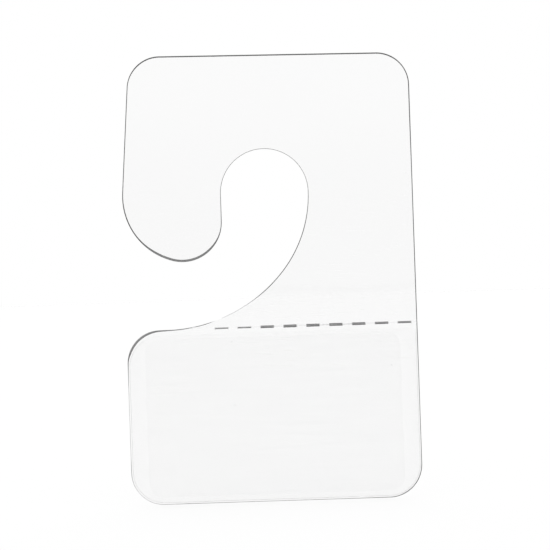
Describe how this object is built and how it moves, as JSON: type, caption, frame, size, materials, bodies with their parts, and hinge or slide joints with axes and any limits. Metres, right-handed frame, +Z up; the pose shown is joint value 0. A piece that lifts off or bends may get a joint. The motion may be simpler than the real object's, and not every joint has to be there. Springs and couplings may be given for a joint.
{
  "type": "hook hang tab",
  "caption": "Clear film hook hang tab with a side-opening throat, a perforated fold line and a self-adhesive base under a release liner.",
  "frame": {"origin": "the peg seat: the highest point of the throat, halfway through the film's thickness", "axes": "+X across the tab towards its closed side, +Y out of its back, where the adhesive is, +Z up as it hangs"},
  "size_m": [0.05, 0.0004, 0.0772],
  "materials": {
    "clear_film": "clear glossy PET film with die-cut edges",
    "creased_film": "clear PET film, lightly creased at the fold",
    "clear_adhesive": "clear pressure-sensitive adhesive, faintly hazy",
    "liner_film": "thin clear release film, satin"
  },
  "bodies": {
    "hook": {"hook_panel": "clear_film"},
    "base": {"base_panel": "clear_film", "adhesive_layer": "clear_adhesive", "fold_tie_01": "creased_film", "fold_tie_02": "creased_film", "fold_tie_03": "creased_film", "fold_tie_04": "creased_film", "fold_tie_05": "creased_film", "fold_tie_06": "creased_film", "fold_tie_07": "creased_film", "fold_tie_08": "creased_film", "fold_tie_09": "creased_film", "fold_tie_10": "creased_film"},
    "liner": {"release_liner": "liner_film"}
  },
  "joints": [
    {"name": "fold", "type": "hinge", "parent": "hook", "child": "base", "pos_m": [0, -0.00014, -0.0306], "axis": [-1, 0, 0], "range_deg": [-85, 178], "deforming": ["fold_tie_01", "fold_tie_02", "fold_tie_03", "fold_tie_04", "fold_tie_05", "fold_tie_06", "fold_tie_07", "fold_tie_08", "fold_tie_09", "fold_tie_10"]},
    {"name": "liner_peel", "type": "hinge", "parent": "base", "child": "liner", "pos_m": [0.0252, 0.00027, -0.0456], "axis": [0, 0, -1], "range_deg": [0, 150]}
  ]
}
